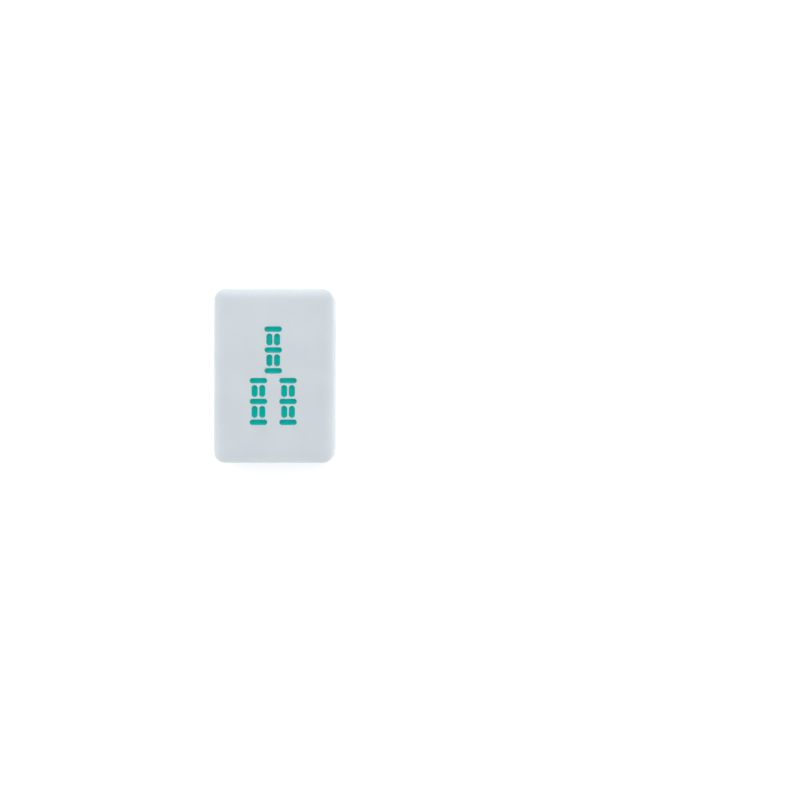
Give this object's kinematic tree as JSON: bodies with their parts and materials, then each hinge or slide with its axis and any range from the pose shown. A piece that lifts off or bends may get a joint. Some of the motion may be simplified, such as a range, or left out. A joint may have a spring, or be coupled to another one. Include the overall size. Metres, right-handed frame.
{
  "type": "mahjong tile",
  "caption": "Pale blue-grey mahjong tile with rolled edges, its face engraved with bamboo sticks that are filled with teal enamel.",
  "frame": {"origin": "centre of the back face, on which the tile lies face up", "axes": "+Z out of the face, +Y along the tile's height to the head of the face, +X to the right"},
  "size_m": [0.022, 0.032, 0.0096],
  "materials": {
    "melamine": "satin",
    "enamel": "gloss"
  },
  "bodies": {
    "root": {"tile_body": "melamine", "upper_stick_top_knob_enamel": "enamel", "upper_stick_middle_knob_enamel": "enamel", "upper_stick_bottom_knob_enamel": "enamel", "upper_stick_upper_left_cane_enamel": "enamel", "upper_stick_upper_right_cane_enamel": "enamel", "upper_stick_lower_left_cane_enamel": "enamel", "upper_stick_lower_right_cane_enamel": "enamel", "left_stick_top_knob_enamel": "enamel", "left_stick_middle_knob_enamel": "enamel", "left_stick_bottom_knob_enamel": "enamel", "left_stick_upper_left_cane_enamel": "enamel", "left_stick_upper_right_cane_enamel": "enamel", "left_stick_lower_left_cane_enamel": "enamel", "left_stick_lower_right_cane_enamel": "enamel", "right_stick_top_knob_enamel": "enamel", "right_stick_middle_knob_enamel": "enamel", "right_stick_bottom_knob_enamel": "enamel", "right_stick_upper_left_cane_enamel": "enamel", "right_stick_upper_right_cane_enamel": "enamel", "right_stick_lower_left_cane_enamel": "enamel", "right_stick_lower_right_cane_enamel": "enamel"}
  },
  "joints": []
}
